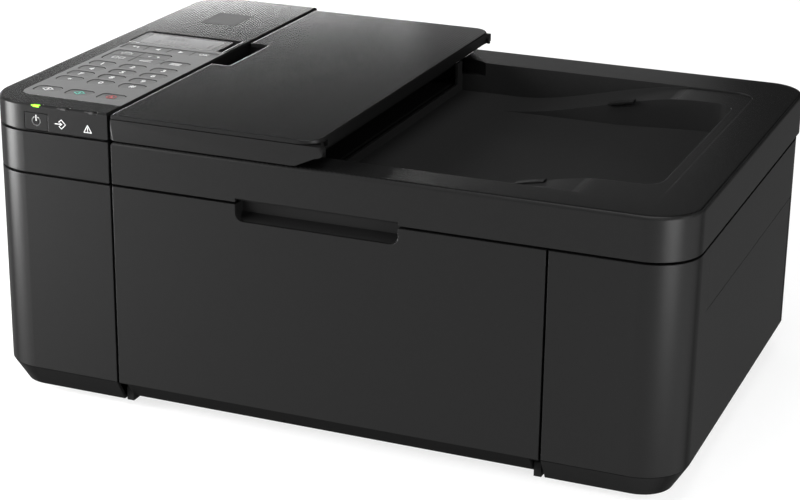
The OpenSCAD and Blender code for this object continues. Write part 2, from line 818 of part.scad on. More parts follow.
module feeder_base() {
  color(black) {
    difference() {
      union() {
        // pan that closes the underside
        slab(147.2, 149.2) lid2d(wall + 0.4);
        // feeder side plates
        for (y = [-124, 118])
          block(-127.4, -14, y, y + 3, 147.2, 171.2);
        // curved turn guide
        intersection() {
          pin_y(-124, 121, drum_x, drum_z, drum_r + 4.4);
          block(-128, drum_x + 6, -124, 121, 149, 180);
        }
        // loading table
        block(-98, -14, -124, 121, 169.2, 171.2);
        // exit ramp
        along_y(-124, 121) polygon([[-96, 149.1], [-14, 156], [-14, 158], [-96, 151.3]]);
      }
      pin_y(-121, 118, drum_x, drum_z, drum_r + 2.2);
      block(drum_x, -97.9, -121, 118, 151.2, 171.3);
      block(strip_x0 - 1, strip_x1 + 2, -108, 108, 140, 152);
      // room for the feed drum shaft
      pin_y(-126, 130, drum_x, drum_z, 3 + fit);
      for (x = hinge_x)
        block(x - 7, x + 7, 132, HD + 1, 140, 160);
      for (x = hinge_x)
        block(x - 13, x + 13, yb - 2, HD + 1, 140, 152);
    }
    // knuckles that take the hinge pins
    for (x = hinge_x, s = [-1, 1])
      difference() {
        union() {
          block(x + s * 9 - 2, x + s * 9 + 2, 130, lid_y, 147.2, 152);
          pin_x(x + s * 9 - 2, x + s * 9 + 2, lid_y, lid_z, 4);
        }
        pin_x(x + s * 9 - 3, x + s * 9 + 3, lid_y, lid_z, 2 + fit);
      }
    // posts for the feeder cover's hinge pins
    for (y = [-139, 133])
      difference() {
        union() {
          block(fc_x - 2.4, fc_x + 2.4, y, y + 4, 147.2, fc_z);
          pin_y(y, y + 4, fc_x, fc_z, 2.4);
        }
        pin_y(y - 1, y + 5, fc_x, fc_z, 1.2 + fit);
      }
    // feed motor box
    block(-72, -40, 120.9, 138, 149.1, 168);
  }
}

module feed_drum() {
  color(steel) pin_y(-125, 132, drum_x, drum_z, 3);
  color(black) for (y = [-90, -40, 15, 65])
    difference() {
      pin_y(y, y + 25, drum_x, drum_z, drum_r);
      pin_y(y - 1, y + 26, drum_x, drum_z, 2.9);
    }
  color(white) translate([drum_x, 129, drum_z]) rotate([90, 0, 0]) linear_extrude(4) difference() {
    gear2d(24, 0.8);
    circle(2.9);
  }
}

// Front or rear cheek of the feeder cover, with the nose that carries the tray pin.
module cheek2d() {
  polygon([[feeder_l, panel_bot + 1], [feeder_l + 2, panel_bot], [-12.5, panel_bot], [4.6, tray_z - 1.4], [tray_x, tray_z + 3.4],
    [feeder_l, tray_z + 3.4]]);
  translate([tray_x, tray_z]) circle(3.4);
}

cover_top = tray_z + 3.4;

module feeder_cover() {
  color(charcoal) difference() {
    union() {
      for (y = [-HD, HD - 5])
        along_y(y, y + 5) cheek2d();
      block(feeder_l, -8, -HD, HD, cover_top - 2.4, cover_top);
      block(feeder_l, feeder_l + wall, -HD, HD, panel_bot + 1.2, cover_top);
      // finger pocket under the tray's notch
      block(feeder_l, -112.8, -23.8, 39.8, 179.4, cover_top);
      // hangers of the pick roller
      for (y = [-34, 31])
        difference() {
          block(pick_x - 4, pick_x + 4, y, y + 3, pick_z - 3.4, cover_top - 2.3);
          pin_y(y - 1, y + 4, pick_x, pick_z, 2 + fit);
        }
      // paper ribs
      for (y = [-100, -70, 60, 90])
        block(-100, -12, y, y + 1.8, 179, cover_top - 2.3);
      // hinge arms
      for (y = [-144.6, 138.6])
        block(fc_x - 2.6, fc_x + 6, y, y + 6, 180, cover_top - 2.3);
    }
    block(feeder_l - 1, -115, -21.6, 37.6, 181.4, cover_top + 1);
    // slots for the hinge posts
    for (y = [-139.6, 132.4])
      block(feeder_l - 1, fc_x + 3.4, y, y + 5.2, 170, cover_top + 1);
    // sockets of the tray pins
    for (y = [-HD + 1.6, HD - 6])
      pin_y(y, y + 4.4, tray_x, tray_z, 1.6 + fit);
  }
  color(charcoal) for (y = [-139.8, 132.2])
    pin_y(y, y + 6.6, fc_x, fc_z, 1.2);
}

module pick_roller() {
  color(steel) pin_y(-36, 36, pick_x, pick_z, 2);
  color(black) for (y = [-24, 6])
    difference() {
      pin_y(y, y + 18, pick_x, pick_z, 5.4);
      pin_y(y - 1, y + 19, pick_x, pick_z, 1.9);
    }
}

tray_l = -129.5;
tray_r = 5.9;
tray_bot = cover_top + 0.5;

module document_tray() {
  color(charcoal) {
    difference() {
      union() {
        slab(tray_bot, body_h - 0.8)
          plate2d(tray_l, tray_r, -HD, HD, 0, 12, 12, 0);
        hull() {
          slab(body_h - 0.81, body_h - 0.8) plate2d(tray_l, tray_r, -HD, HD, 0, 12, 12, 0);
          slab(body_h - 0.01, body_h) plate2d(tray_l + 0.6, tray_r - 0.6, -HD + 0.6, HD - 0.6, 0, 11.4, 11.4, 0);
        }
        // turned-down right edge
        block(tray_r - 2.4, tray_r, -HD + 12, HD - 12, 181.8, body_h - 0.8);
      }
      // finger notch
      slab(180, 195) plate2d(tray_l - 1, -116, -21, 37, 0, 4, 4, 0);
    }
    // hinge arms and pins
    for (y = [-HD + 6.4, HD - 9.4])
      along_y(y, y + 3)
        polygon([[tray_x - 3, tray_bot + 0.1], [tray_x - 2.4, tray_z - 1.4], [tray_x + 1.6, tray_z - 2.2],
          [tray_r - 2, tray_bot + 0.1]]);
    pin_y(-HD + 2, -HD + 6.5, tray_x, tray_z, 1.6);
    pin_y(HD - 6.5, HD - 2, tray_x, tray_z, 1.6);
  }
}

// ---------- control panel ----------

panel_bot = z_panel + seam / 2;
bezel = [-205.5, -136, 7.6, 38.6];
lcd = [-193.4, -142, 9.6, 33.4];

module all_key_holes2d(g) {
  for (c = [0:2], r = [0:3])
    key_hole2d(pad_x + c * key_px, pad_y + r * key_py, key_w + 2 * g, key_d + 2 * g, key_r + g);
  for (c = [0:2])
    key_hole2d(pad_x + c * key_px, row_y, key_w + 2 * g, 11 + 2 * g, 3.2 + g);
  key_hole2d(-149, -31.6, key_w + 2 + 2 * g, key_d + 2 * g, key_r + g);
}

// Navigation strip and mode group: neighbouring keys in one opening each.
module group_holes2d(g) {
  plate2d(nav_x(0) - 8.2 - g, nav_x(3) + 8.2 + g, nav_y - 5 - g, nav_y + 5 + g, 1, 1, 1, 1);
  plate2d(mode_x - 20 - g, mode_x + 20 + g, mode_y - 11.6 - g, mode_y + 11.6 + g, 3, 3, 3, 3);
}

function nav_x(i) = -193.6 + i * 16.7;

led_x = [-179, -160.5, -142];

module control_panel() {
  color(charcoal) {
    difference() {
      union() {
        slab(panel_bot, body_h - 1) tower2d(0);
        hull() {
          slab(body_h - 1.01, body_h - 1) tower2d(0);
          slab(body_h - 0.01, body_h) tower2d(1);
        }
      }
      slab(panel_bot - 1, body_h - top_t) tower2d(wall);
      slab(160, 200) all_key_holes2d(key_gap);
      slab(160, 200) group_holes2d(key_gap);
      slab(body_h - 1.2, body_h + 1)
        plate2d(bezel[0], bezel[1], bezel[2], bezel[3], 0, 0, 2, 5);
      slab(160, 200) plate2d(lcd[0], lcd[1], lcd[2], lcd[3]);
      // power key opening
      block(-188.1, -172.1, -HD - 1, -HD + wall + 1, panel_bot - 1, 184.2);
      // lamp windows
      for (x = led_x)
        block(x - 3, x + 3, -HD - 1, -HD + 2.2, body_h - 1.6, body_h + 1);
    }
    // bed that holds the key switches
    difference() {
      slab(panel_bot + 1, panel_bot + 2.6) tower2d(wall - 0.1);
      block(-189, -171.4, -HD, -HD + 6, panel_bot, panel_bot + 4);
    }
    // light guides under the lamp windows
    for (x = led_x)
      block(x - 2.7, x + 2.7, -HD + 0.3, -HD + 2.6, body_h - 4, body_h - 0.6);
  }
}

module display() {
  color([0.6, 0.63, 0.6])
    block(lcd[0] + 0.3, lcd[1] - 0.3, lcd[2] + 0.3, lcd[3] - 0.3, 183, body_h - 1.6);
  color(grey) block(lcd[0] + 2, lcd[1] - 2, lcd[2] + 2, lcd[3] - 2, panel_bot + 2.6, 183.1);
}

// A key cap with a retaining flange under the panel and a plunger.
module key_cap(x, y, w, d, r) {
  color(grey) {
    slab(body_h - top_t - 1.4, body_h - 0.15) key_hole2d(x, y, w, d, r);
    slab(body_h - top_t - 1.4, body_h - top_t - 0.2) key_hole2d(x, y, w + 1.6, d + 1.6, r + 0.8);
    plunger(x, y);
  }
}

// Plunger under a key, clear of the bed below by the travel and a margin.
module plunger(x, y) {
  z0 = panel_bot + 2.8 + key_travel;
  translate([x, y, z0]) cylinder(h = body_h - top_t - 1.3 - z0, r = 2.4);
}

// A key of a group: square sides towards its neighbours.
module group_key(x, y, w, d, fl, fr, br, bl) {
  color(grey) {
    slab(body_h - top_t - 1.4, body_h - 0.15)
      plate2d(x - w / 2, x + w / 2, y - d / 2, y + d / 2, fl, fr, br, bl);
    plunger(x, y);
  }
}

module pad_key(c, r) {
  key_cap(pad_x + c * key_px, pad_y + r * key_py, key_w, key_d, key_r);
}

module nav_key(i) {
  group_key(nav_x(i), nav_y, 16.3, 10, i == 0 ? 1 : 0, i == 3 ? 1 : 0, i == 3 ? 1 : 0, i == 0 ? 1 : 0);
}

module mode_key(c, r) {
  group_key(mode_x + (c == 0 ? -10 : 10), mode_y + (r == 0 ? -5.8 : 5.8), 19.6, 11.2,
    c == 0 && r == 0 ? 3 : 0, c == 1 && r == 0 ? 3 : 0, c == 1 && r == 1 ? 3 : 0, c == 0 && r == 1 ? 3 : 0);
}

module key_star() { pad_key(0, 0); }
module key_0() { pad_key(1, 0); }
module key_hash() { pad_key(2, 0); }
module key_7() { pad_key(0, 1); }
module key_8() { pad_key(1, 1); }
module key_9() { pad_key(2, 1); }
module key_4() { pad_key(0, 2); }
module key_5() { pad_key(1, 2); }
module key_6() { pad_key(2, 2); }
module key_1() { pad_key(0, 3); }
module key_2() { pad_key(1, 3); }
module key_3() { pad_key(2, 3); }
module start_black_key() { key_cap(pad_x, row_y, key_w, 11, 3.2); }
module start_colour_key() { key_cap(pad_x + key_px, row_y, key_w, 11, 3.2); }
module stop_key() { key_cap(pad_x + 2 * key_px, row_y, key_w, 11, 3.2); }
module menu_key() { key_cap(-149, -31.6, key_w + 2, key_d, key_r); }
module back_key() { nav_key(0); }
module left_key() { nav_key(1); }
module right_key() { nav_key(2); }
module ok_key() { nav_key(3); }
module copy_key() { mode_key(0, 0); }
module scan_key() { mode_key(1, 0); }
module fax_key() { mode_key(0, 1); }
module reply_key() { mode_key(1, 1); }

module power_key() {
  color(charcoal) {
    block(-187.7, -172.5, -HD + 0.15, -HD + 4, panel_bot + 0.2, 183.8);
    block(-182.5, -177.7, -HD + 3.9, -HD + 9, 176.6, 180.4);
  }
}

lower_case();
left_cover();
right_cover();
rear_cover();
scanner_case();
scanner_top();
scan_glass();
scan_head();
rubber_feet();
case_screws();
main_frame();
platen();
logic_board();
power_supply();
purge_unit();
front_door();
output_tray();
paper_guide_left();
paper_guide_right();
carriage();
ink_cartridges();
timing_belt();
feed_roller();
eject_roller();
drive_gear();
lid_shell();
lid_pad();
lid_hinges();
feeder_base();
feeder_cover();
feed_drum();
pick_roller();
document_tray();
control_panel();
display();
power_key();
back_key();
left_key();
right_key();
ok_key();
copy_key();
scan_key();
fax_key();
reply_key();
menu_key();
key_1();
key_2();
key_3();
key_4();
key_5();
key_6();
key_7();
key_8();
key_9();
key_star();
key_0();
key_hash();
start_black_key();
start_colour_key();
stop_key();
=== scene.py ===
"""Looks of the inkjet printer: materials, formed covers, key marks, display, lamps, light and camera."""
import math
import bpy
import bmesh
from mathutils import Matrix, Vector


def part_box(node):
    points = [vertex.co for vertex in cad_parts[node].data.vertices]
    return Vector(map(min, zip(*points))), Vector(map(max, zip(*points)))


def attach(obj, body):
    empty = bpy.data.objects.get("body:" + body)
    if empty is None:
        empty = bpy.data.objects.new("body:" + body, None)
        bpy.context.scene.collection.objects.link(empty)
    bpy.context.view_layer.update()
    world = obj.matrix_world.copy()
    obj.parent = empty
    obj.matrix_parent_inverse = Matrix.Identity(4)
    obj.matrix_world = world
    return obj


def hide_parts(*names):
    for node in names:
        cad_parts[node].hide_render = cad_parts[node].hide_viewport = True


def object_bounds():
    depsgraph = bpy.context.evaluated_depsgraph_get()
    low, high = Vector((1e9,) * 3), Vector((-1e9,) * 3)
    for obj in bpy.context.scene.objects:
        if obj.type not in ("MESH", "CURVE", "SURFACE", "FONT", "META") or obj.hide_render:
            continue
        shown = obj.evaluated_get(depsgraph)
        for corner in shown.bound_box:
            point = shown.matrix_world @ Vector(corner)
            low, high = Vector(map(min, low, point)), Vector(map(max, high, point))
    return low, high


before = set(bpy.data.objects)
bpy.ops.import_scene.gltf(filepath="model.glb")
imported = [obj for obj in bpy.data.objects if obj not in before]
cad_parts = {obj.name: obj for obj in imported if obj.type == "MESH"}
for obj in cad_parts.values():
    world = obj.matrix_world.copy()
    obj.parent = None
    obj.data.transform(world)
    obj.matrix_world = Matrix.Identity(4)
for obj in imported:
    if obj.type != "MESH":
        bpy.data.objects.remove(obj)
cad_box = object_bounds()
MM = 0.001
HW, HD, TOP = (round(v / MM, 3) for v in cad_box[1])    # half width, half depth and height, in mm
RIM = 172.5                         # top of the document cover's rim, in mm


# ---------------------------------------------------------------- node graph helper
class Graph:
    """A material whose colours and heights come from node math on object coordinates in millimetres."""

    def __init__(self, name, rough=0.5, metallic=0.0, spec=0.5):
        self.mat = bpy.data.materials.new(name)
        self.mat.use_nodes = True
        self.tree = self.mat.node_tree
        self.tree.nodes.clear()
        out = self.tree.nodes.new("ShaderNodeOutputMaterial")
        self.bsdf = self.tree.nodes.new("ShaderNodeBsdfPrincipled")
        self.tree.links.new(self.bsdf.outputs[0], out.inputs["Surface"])
        self.bsdf.inputs["Roughness"].default_value = rough
        self.bsdf.inputs["Metallic"].default_value = metallic
        self.bsdf.inputs["Specular IOR Level"].default_value = spec
        coord = self.tree.nodes.new("ShaderNodeTexCoord")
        self.p = self.vmath("SCALE", coord.outputs["Object"], scale=1000.0)
        self.x, self.y, self.z = self.split(self.p)
        self.nx, self.ny, self.nz = self.split(coord.outputs["Normal"])

    def put(self, socket, value):
        """Set a socket to a number or a colour, or link it to another node's output."""
        if isinstance(value, (int, float)):
            socket.default_value = value
        elif isinstance(value, (tuple, list)):
            socket.default_value = tuple(value)
        else:
            self.tree.links.new(value, socket)

    def math(self, op, a, b=None):
        n = self.tree.nodes.new("ShaderNodeMath")
        n.operation = op
        for s, v in zip(n.inputs, (a, b)):
            if v is not None:
                self.put(s, v)
        return n.outputs[0]

    def vmath(self, op, a, b=None, scale=None):
        n = self.tree.nodes.new("ShaderNodeVectorMath")
        n.operation = op
        self.put(n.inputs[0], a)
        if b is not None:
            self.put(n.inputs[1], b)
        if scale is not None:
            n.inputs["Scale"].default_value = scale
        return n.outputs[0]

    def split(self, v):
        n = self.tree.nodes.new("ShaderNodeSeparateXYZ")
        self.put(n.inputs[0], v)
        return n.outputs

    def add(self, a, b):
        return self.math("ADD", a, b)

    def sub(self, a, b):
        return self.math("SUBTRACT", a, b)

    def mul(self, a, b):
        return self.math("MULTIPLY", a, b)

    def ramp(self, v, lo, hi, out_lo=0.0, out_hi=1.0):
        """Smooth step of v from lo to hi."""
        n = self.tree.nodes.new("ShaderNodeMapRange")
        n.interpolation_type = "SMOOTHSTEP"
        values = {"Value": v, "From Min": lo, "From Max": hi, "To Min": out_lo, "To Max": out_hi}
        for key, value in values.items():
            self.put(n.inputs[key], value)
        return n.outputs[0]

    def above(self, v, edge, soft=0.3):
        """0 below the edge and 1 above it."""
        return self.ramp(v, edge - soft, edge + soft)

    def box(self, x0, x1, y0, y1, r=0.0, soft=0.12):
        """1 inside a rounded rectangle seen from above."""
        cx, cy, hx, hy = (x0 + x1) / 2, (y0 + y1) / 2, (x1 - x0) / 2 - r, (y1 - y0) / 2 - r
        dx = self.math("MAXIMUM", self.sub(self.math("ABSOLUTE", self.sub(self.x, cx)), hx), 0.0)
        dy = self.math("MAXIMUM", self.sub(self.math("ABSOLUTE", self.sub(self.y, cy)), hy), 0.0)
        d = self.math("SQRT", self.add(self.mul(dx, dx), self.mul(dy, dy)))
        return self.ramp(d, r - soft, r + soft, 1.0, 0.0)

    def blend(self, fac, a, b):
        """Value a where fac is 0 and b where it is 1."""
        return self.add(self.mul(self.sub(1.0, fac), a), self.mul(fac, b))

    def wave(self, v, pitch):
        """Sine of v with the given pitch, from -1 to 1."""
        return self.math("SINE", self.mul(v, 2 * math.pi / pitch))

    def noise(self, scale, detail=2.0, rough=0.5, vector=None):
        n = self.tree.nodes.new("ShaderNodeTexNoise")
        self.put(n.inputs["Vector"], self.p if vector is None else vector)
        n.inputs["Scale"].default_value = scale
        n.inputs["Detail"].default_value = detail
        n.inputs["Roughness"].default_value = rough
        return n.outputs["Fac"]

    def mix(self, fac, a, b):
        n = self.tree.nodes.new("ShaderNodeMix")
        n.data_type = "RGBA"
        self.put(n.inputs[0], fac)
        self.put(n.inputs[6], a)
        self.put(n.inputs[7], b)
        return n.outputs[2]

    def bump(self, height, dist, strength=1.0, normal=None):
        n = self.tree.nodes.new("ShaderNodeBump")
        n.inputs["Distance"].default_value = dist
        n.inputs["Strength"].default_value = strength
        self.put(n.inputs["Height"], height)
        if normal is not None:
            self.put(n.inputs["Normal"], normal)
        return n.outputs[0]

    def edges(self, radius):
        """Normal that rounds the edges over a radius in metres."""
        n = self.tree.nodes.new("ShaderNodeBevel")
        n.samples = 6
        n.inputs["Radius"].default_value = radius
        return n.outputs[0]

    def finish(self, colour=None, rough=None, normal=None):
        if colour is not None:
            self.put(self.bsdf.inputs["Base Color"], colour)
        if rough is not None:
            self.put(self.bsdf.inputs["Roughness"], rough)
        if normal is not None:
            self.put(self.bsdf.inputs["Normal"], normal)
        return self.mat


def grey(v):
    return (v, v, v, 1.0)


# ---------------------------------------------------------------- moulded plastics
def grain(g, fine=9.0, depth=0.00004, edge=0.0006):
    """Fine spark-eroded grain, with softened edges."""
    h = g.add(g.mul(g.noise(fine, 3.0, 0.6), 0.7), g.mul(g.noise(fine * 0.28, 2.0, 0.5), 0.3))
    return g.bump(h, depth, 1.0, g.edges(edge))


def mottle(g, a, b, scale=0.35):
    """Uneven grey between a and b."""
    return g.mix(g.noise(scale, 4.0, 0.6), grey(a), grey(b))


def ribs(g, pitch):
    """Diagonal ribs in plan: 0 to 1 over each pitch."""
    s = g.math("SINE", g.mul(g.add(g.x, g.y), -math.sqrt(2) * math.pi / pitch))
    return g.add(g.mul(s, 0.5), 0.5)


def shell_gloss(g, spec=0.14, glance=0.004):
    """Gloss of the grained shell, which the grain takes away at a shallow angle."""
    facing = g.tree.nodes.new("ShaderNodeLayerWeight").outputs["Facing"]
    return g.ramp(facing, 0.3, 0.6, spec, glance)


def plastic(name, a, b, rough, fine=9.0, depth=0.00004, edge=0.0006, spec=0.5, glance=None):
    """Grained moulding. glance is the specular level that the grain leaves at a shallow angle."""
    g = Graph(name, rough=rough, spec=spec)
    if glance is not None:
        g.put(g.bsdf.inputs["Specular IOR Level"], shell_gloss(g, spec, glance))
    r = g.add(g.mul(g.noise(fine * 0.5, 3.0), 0.16), rough - 0.08)
    return g.finish(mottle(g, a, b), r, grain(g, fine, depth, edge))


def ribbed_top(name, a, b, rough, plane_z, pitch, spec=0.25, field=None, along=None, painted_light_box=None):
    """Charcoal moulding whose upward face at plane_z carries fine ribs.

    field is a smooth grey area: a rectangle, its corner radius and a second rectangle joined to it.
    along is where ribs along Y take over from the diagonal ones, and their pitch.
    The last argument is a rectangle in which the faces below plane_z are painted paler: painted light inside
    the recess.
    """
    g = Graph(name, rough=rough, spec=spec)
    top = g.mul(g.above(g.nz, 0.8, 0.1), g.above(g.z, plane_z - 1.0, 0.2))
    wave = ribs(g, pitch)
    if along is not None:
        x_from, pitch_y = along
        other = g.add(g.mul(g.wave(g.x, pitch_y), 0.5), 0.5)
        wave = g.add(g.mul(wave, g.ramp(g.x, x_from - 25, x_from + 25, 1.0, 0.35)),
                     g.mul(other, g.ramp(g.x, x_from - 25, x_from + 25, 0.1, 0.75)))
    smooth = None
    if field is not None:
        outline, corner, beside = field
        smooth = g.math("MAXIMUM", g.box(*outline, r=corner, soft=0.2), g.box(*beside, r=0.5, soft=0.2))
        ribbed = g.mul(top, g.sub(1.0, smooth))
    else:
        ribbed = top
    rib_crest_and_highlight = g.mul(wave, ribbed)
    base = mottle(g, a, b)
    if painted_light_box is not None:
        # painted light: faces inside the recess are painted paler than the rest of the moulding
        below = g.mul(g.box(*painted_light_box, soft=0.2), g.sub(1.0, top))
        base = g.mix(below, base, mottle(g, 0.027, 0.032))
    # The rib crests are painted paler as a painted highlight, and the rib valleys darker as painted shade.
    colour = g.mix(rib_crest_and_highlight, base, grey(a * 1.6))
    valley_and_painted_shade = g.mul(g.sub(1.0, wave), ribbed)
    colour = g.mix(g.mul(valley_and_painted_shade, 0.9), colour, grey(a * 0.2))
    if smooth is not None:
        colour = g.mix(g.mul(smooth, top), colour, mottle(g, 0.044, 0.050))
    gloss = g.sub(spec, g.mul(valley_and_painted_shade, spec * 0.45))
    if smooth is not None:
        gloss = g.blend(smooth, gloss, 0.04)
    h = g.bump(rib_crest_and_highlight, 0.000012, 1.0, grain(g, depth=0.000001, edge=0.0003))
    r = g.add(g.mul(g.noise(4.5, 3.0), 0.08), rough - 0.04)
    g.put(g.bsdf.inputs["Specular IOR Level"], g.blend(top, shell_gloss(g), gloss))
    return g.finish(colour, g.blend(ribbed, 0.38, r), h)


CASE = plastic("case_charcoal", 0.008, 0.010, 0.38, depth=0.000004, spec=0.14, glance=0.004)
BLACK = plastic("case_black", 0.008, 0.010, 0.45, depth=0.000006, spec=0.08, glance=0.004)
ENGINE = plastic("engine_black", 0.016, 0.021, 0.38, fine=3.0, depth=0.00002)


def key_finish():
    """Satin key top whose flanks are painted near black, as painted shade in the gaps round the key."""
    g = Graph("key_satin", rough=0.42, spec=0.3)
    flank_and_painted_shade = g.sub(1.0, g.above(g.nz, 0.93, 0.05))
    g.put(g.bsdf.inputs["Specular IOR Level"], g.sub(0.04, g.mul(flank_and_painted_shade, 0.035)))
    # painted shade: the key's flanks are painted near black
    colour = g.mix(flank_and_painted_shade, mottle(g, 0.046, 0.052), grey(0.003))
    h = g.bump(g.noise(12.0, 3.0), 0.000003)
    return g.finish(colour, g.add(g.mul(g.noise(6.0, 3.0), 0.16), 0.34), h)


KEYS = key_finish()
GUIDE = plastic("guide_grey", 0.055, 0.062, 0.45)
GEAR = plastic("gear_acetal", 0.62, 0.68, 0.4, depth=0.00001, edge=0.0003)
PAD = plastic("lid_pad_white", 0.74, 0.79, 0.6, fine=3.0, depth=0.00006)
RIB_PITCH = 2.1
TRAY_TOP = ribbed_top("tray_ribbed", 0.007, 0.009, 0.12, TOP, RIB_PITCH)
# the last rectangle is where the recess is painted paler, as painted light
RIM_TOP = ribbed_top("cover_ribbed", 0.008, 0.011, 0.26, RIM, RIB_PITCH, spec=0.18,
                     along=(115.0, 1.65), painted_light_box=(-12.0, 191.5, -124.0, 113.5))
PANEL_TOP = ribbed_top("panel_ribbed", 0.008, 0.010, 0.12, TOP, RIB_PITCH,
                       field=((-204.0, -120.0, -129.0, 7.6), 10.0, (-150.0, -120.0, -129.0, 7.6)))


def rubber(name, a, b):
    """Soft matt rubber with coarse grain."""
    g = Graph(name, rough=0.75, spec=0.3)
    return g.finish(mottle(g, a, b, 1.2), None, grain(g, 5.0, 0.00008, 0.0004))


RUBBER = rubber("rubber_black", 0.02, 0.028)


def roller_rubber():
    """Ground rubber with faint rings round the shaft."""
    g = Graph("roller_rubber", rough=0.6)
    rings = g.math("SINE", g.mul(g.add(g.x, g.y), 9.0))
    colour = g.mix(g.add(g.mul(rings, 0.2), 0.5), grey(0.05), grey(0.075))
    return g.finish(colour, None, g.bump(rings, 0.00003, 0.6))


def brushed_steel(name, colour, rough):
    """Sheet steel with streaks along X."""
    g = Graph(name, rough=rough, metallic=1.0)
    streak = g.noise(1.0, 4.0, 0.7, g.vmath("MULTIPLY", g.p, (0.06, 2.2, 2.2)))
    dark = [v * 0.82 for v in colour[:3]] + [1.0]
    r = g.add(g.mul(streak, 0.25), rough - 0.1)
    return g.finish(g.mix(streak, dark, colour), r, g.bump(streak, 0.00003, 0.5, g.edges(0.0003)))


STEEL = brushed_steel("zinc_steel", (0.56, 0.57, 0.59, 1.0), 0.35)


def circuit_board():
    """Green board with a fine grid of tracks. What stands proud of the board is black."""
    g = Graph("circuit_board", rough=0.4)
    board = g.ramp(g.x, -202.6, -202.3, 1.0, 0.0)
    wave = g.add(g.math("SINE", g.mul(g.y, 3.1)), g.math("SINE", g.mul(g.z, 2.3)))
    tracks = g.ramp(g.add(wave, g.mul(g.noise(0.12), 2.0)), 1.3, 1.7)
    green = g.mix(tracks, (0.012, 0.10, 0.035, 1.0), (0.03, 0.20, 0.07, 1.0))
    return g.finish(g.mix(board, grey(0.02), green), None, g.bump(tracks, 0.00008, 0.6))


def cartridge():
    """Black cartridge with a pale bare label on its top."""
    g = Graph("cartridge_plastic", rough=0.35)
    top = g.mul(g.above(g.nz, 0.8, 0.1), g.above(g.z, 90.0))
    return g.finish(g.mix(g.mul(top, 0.8), mottle(g, 0.02, 0.028), grey(0.3)), None, grain(g, 5.0))


def flat_glass():
    """Faintly green sheet glass."""
    g = Graph("scan_glass", rough=0.05)
    g.bsdf.inputs["Transmission Weight"].default_value = 0.85
    g.bsdf.inputs["IOR"].default_value = 1.5
    tone = g.mix(g.noise(0.05), (0.78, 0.86, 0.84, 1.0), (0.84, 0.9, 0.88, 1.0))
    return g.finish(tone, g.add(g.mul(g.noise(0.3, 3.0), 0.03), 0.03))


CELL = 0.55                         # pitch of the liquid crystal's cells


def cell_grid(g):
    """Fine square grid of the liquid crystal."""
    return g.add(g.wave(g.x, CELL), g.wave(g.y, CELL))


def lcd_glass():
    """Unlit liquid crystal: silver grey with a fine cell grid."""
    g = Graph("lcd", rough=0.25)
    cells = cell_grid(g)
    base = g.mix(g.ramp(g.y, 8.0, 34.0), grey(0.20), grey(0.30))
    colour = g.mix(g.ramp(cells, 0.6, 1.8, 0.0, 0.12), base, grey(0.12))
    return g.finish(colour, None, g.bump(cells, 0.00001, 0.3))


def lcd_lens():
    """Smoked window over a silver liquid crystal with a fine cell grid."""
    g = Graph("lcd_lens", rough=0.3, spec=0.03)
    cells = cell_grid(g)
    silver = g.mix(g.ramp(g.y, 9.0, 31.0), grey(0.11), grey(0.14))
    silver = g.mix(g.ramp(cells, 0.6, 1.8, 0.0, 0.12), silver, grey(0.08))
    smoke = g.mix(g.ramp(g.x, -208.0, -198.0), grey(0.012), grey(0.028))
    glass = g.mix(g.box(-198.6, -146.0, 10.0, 32.0, r=0.6), smoke, silver)
    return g.finish(glass, g.add(g.mul(g.noise(2.0), 0.06), 0.17), g.bump(cells, 0.000002, 0.3))


MATERIALS = {"lid_shell": RIM_TOP, "document_tray": TRAY_TOP, "control_panel": PANEL_TOP, "drive_gear": GEAR,
             "lid_pad": PAD, "logic_board": circuit_board(), "ink_cartridges": cartridge(),
             "scan_glass": flat_glass(), "display": lcd_glass()}
SHARED = (
    (CASE, "left_cover right_cover scanner_case scanner_top front_door feeder_cover power_key"),
    (BLACK, "lower_case rear_cover output_tray feeder_base"),
    (STEEL, "main_frame case_screws"),
    (ENGINE, "lid_hinges platen purge_unit power_supply carriage scan_head"),
    (RUBBER, "rubber_feet timing_belt"),
    (GUIDE, "paper_guide_left paper_guide_right"),
    (roller_rubber(), "feed_roller eject_roller feed_drum pick_roller"),
)
for mat, names in SHARED:
    MATERIALS.update((name, mat) for name in names.split())
for name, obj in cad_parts.items():
    obj.data.materials.clear()
    obj.data.materials.append(MATERIALS.get(name, KEYS))


# ---------------------------------------------------------------- shapes in millimetres
TIGHT = 0.02                        # radius of a corner that is left sharp


def new_object(name, data):
    ob = bpy.data.objects.new(name, data)
    bpy.context.scene.collection.objects.link(ob)
    return ob


def arc_points(cx, cy, r, angles):
    """Points of an arc, at angles in degrees from +X."""
    turns = [math.radians(a) for a in angles]
    return [(cx + r * math.cos(t), cy + r * math.sin(t)) for t in turns]


def rounded(x0, x1, y0, y1, radii, inset=0.0, seg=18):
    """Rectangle in plan with its own radius at front left, front right, back right and back left."""
    x0, x1, y0, y1 = x0 + inset, x1 - inset, y0 + inset, y1 - inset
    pts = []
    corners = ((x0, y0, 180), (x1, y0, 270), (x1, y1, 0), (x0, y1, 90))
    for (x, y, start), radius in zip(corners, radii):
        r = max(radius - inset, TIGHT)
        cx = x + r if x == x0 else x - r
        cy = y + r if y == y0 else y - r
        pts += arc_points(cx, cy, r, [start + 90 * k / seg for k in range(seg + 1)])
    return pts


def loft(rings):
    """Closed solid through rings of (points in X and Y, z) with as many points each."""
    bm = bmesh.new()
    rows = [[bm.verts.new((x * MM, y * MM, z * MM)) for x, y in pts] for pts, z in rings]
    n = len(rows[0])
    for low, high in zip(rows, rows[1:]):
        for k in range(n):
            bm.faces.new((low[k], low[(k + 1) % n], high[(k + 1) % n], high[k]))
    bm.faces.new(rows[0][::-1])
    bm.faces.new(rows[-1])
    return bm


def prism(pts, z0, z1):
    """Upright prism of an outline in X and Y."""
    return loft([(pts, z0), (pts, z1)])


def stack(box, levels):
    """Solid in which the rounded box is set in by i at each height z."""
    return loft([(rounded(*box, inset=i), z) for i, z in levels])


